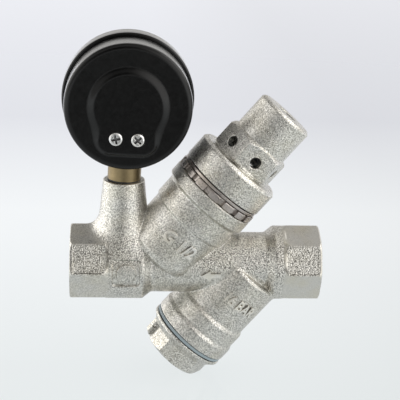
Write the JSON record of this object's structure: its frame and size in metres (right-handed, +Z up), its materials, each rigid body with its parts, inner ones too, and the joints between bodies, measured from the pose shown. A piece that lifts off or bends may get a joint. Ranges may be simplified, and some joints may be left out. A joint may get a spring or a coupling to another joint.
{
  "type": "pressure reducing valve",
  "caption": "Y-pattern pressure reducing valve with threaded ends, strainer branch, inclined spring bonnet and a dial pressure gauge on the outlet side.",
  "frame": {"origin": "centre of the inlet mouth, in the plane of the inlet face", "axes": "+X out of the inlet along the pipe, +Z up towards the gauge and bonnet, +Y the way the gauge dial faces"},
  "size_m": [0.0987, 0.0352, 0.1333],
  "materials": {
    "plated_brass": "satin nickel plate over shot-blasted forged brass",
    "plated_ring": "satin nickel plate",
    "steel": "bright",
    "brass": "turned",
    "rubber": "matt",
    "gasket": "matt",
    "black_paint": "semi-gloss",
    "screw_chrome": "bright",
    "glass": "clear",
    "dial_white": "matt"
  },
  "bodies": {
    "valve": {"valve_body": "plated_brass", "bonnet": "plated_brass", "lock_ring": "plated_ring", "lock_band": "plated_ring", "main_spring": "steel", "seat_insert": "brass", "seat_o_ring": "rubber", "stem_seal": "rubber", "gauge_stem": "brass", "gauge_case": "black_paint", "case_spacer": "brass", "case_screw_left": "screw_chrome", "case_screw_right": "screw_chrome", "gauge_bezel": "black_paint", "gauge_window": "glass", "window_gasket": "rubber", "gauge_dial": "dial_white", "movement_back_plate": "brass", "movement_front_plate": "brass", "pillar_upper": "brass", "pillar_lower": "brass", "bourdon_tube": "brass", "hairspring": "steel"},
    "spring_plate": {"upper_spring_plate": "steel"},
    "adjusting_screw": {"adjusting_screw": "steel"},
    "piston": {"piston": "brass", "piston_o_ring": "rubber", "valve_stem": "steel", "piston_nut": "steel", "disc_holder": "brass", "valve_disc": "rubber", "disc_nut": "steel"},
    "screen": {"strainer_screen": "steel", "cap_gasket": "gasket"},
    "strainer_cap": {"strainer_cap": "plated_brass"},
    "pointer": {"pointer_arbor": "brass", "gauge_pointer": "black_paint"},
    "sector": {"sector_gear": "brass"},
    "tip_link": {"tip_link": "brass"}
  },
  "joints": [
    {"name": "spring_plate_travel", "type": "slide", "parent": "valve", "child": "spring_plate", "axis": [-0.6428, 0, -0.766], "range_m": [0, 0.006], "deforming": ["main_spring"]},
    {"name": "adjusting_screw_turn", "type": "hinge", "parent": "spring_plate", "child": "adjusting_screw", "pos_m": [-0.01951, 0, 0.05362], "axis": [-0.6428, 0, -0.766], "range_deg": [0, 1728.1]},
    {"name": "piston_travel", "type": "slide", "parent": "valve", "child": "piston", "axis": [0.6428, 0, 0.766], "range_m": [0, 0.003], "stiffness_N_per_m": 9000, "springref_m": -0.006, "deforming": ["main_spring"]},
    {"name": "cap_travel", "type": "slide", "parent": "valve", "child": "screen", "axis": [-0.6428, 0, -0.766], "range_m": [0, 0.0075]},
    {"name": "cap_turn", "type": "hinge", "parent": "screen", "child": "strainer_cap", "pos_m": [-0.05242, 0, -0.03447], "axis": [-0.6428, 0, -0.766], "range_deg": [0, 1800.1]},
    {"name": "sector_turn", "type": "hinge", "parent": "valve", "child": "sector", "pos_m": [-0.07422, 0.004, 0.05251], "axis": [0, -1, 0], "range_deg": [-54, 0]},
    {"name": "pointer_turn", "type": "hinge", "parent": "valve", "child": "pointer", "pos_m": [-0.07383, 0.004, 0.06223], "axis": [0, -1, 0], "range_deg": [0, 270.1], "deforming": ["hairspring"]},
    {"name": "link_turn", "type": "hinge", "parent": "sector", "child": "tip_link", "pos_m": [-0.07707, 0.004, 0.0516], "axis": [0, -1, 0], "range_deg": [0, 54.1]}
  ],
  "couplings": [
    {"joint": "adjusting_screw_turn", "follows": "spring_plate_travel", "rad_per_m": 5026.5},
    {"joint": "cap_turn", "follows": "cap_travel", "rad_per_m": 4188.8},
    {"joint": "pointer_turn", "follows": "sector_turn", "ratio": -5},
    {"joint": "link_turn", "follows": "sector_turn", "ratio": -1}
  ]
}
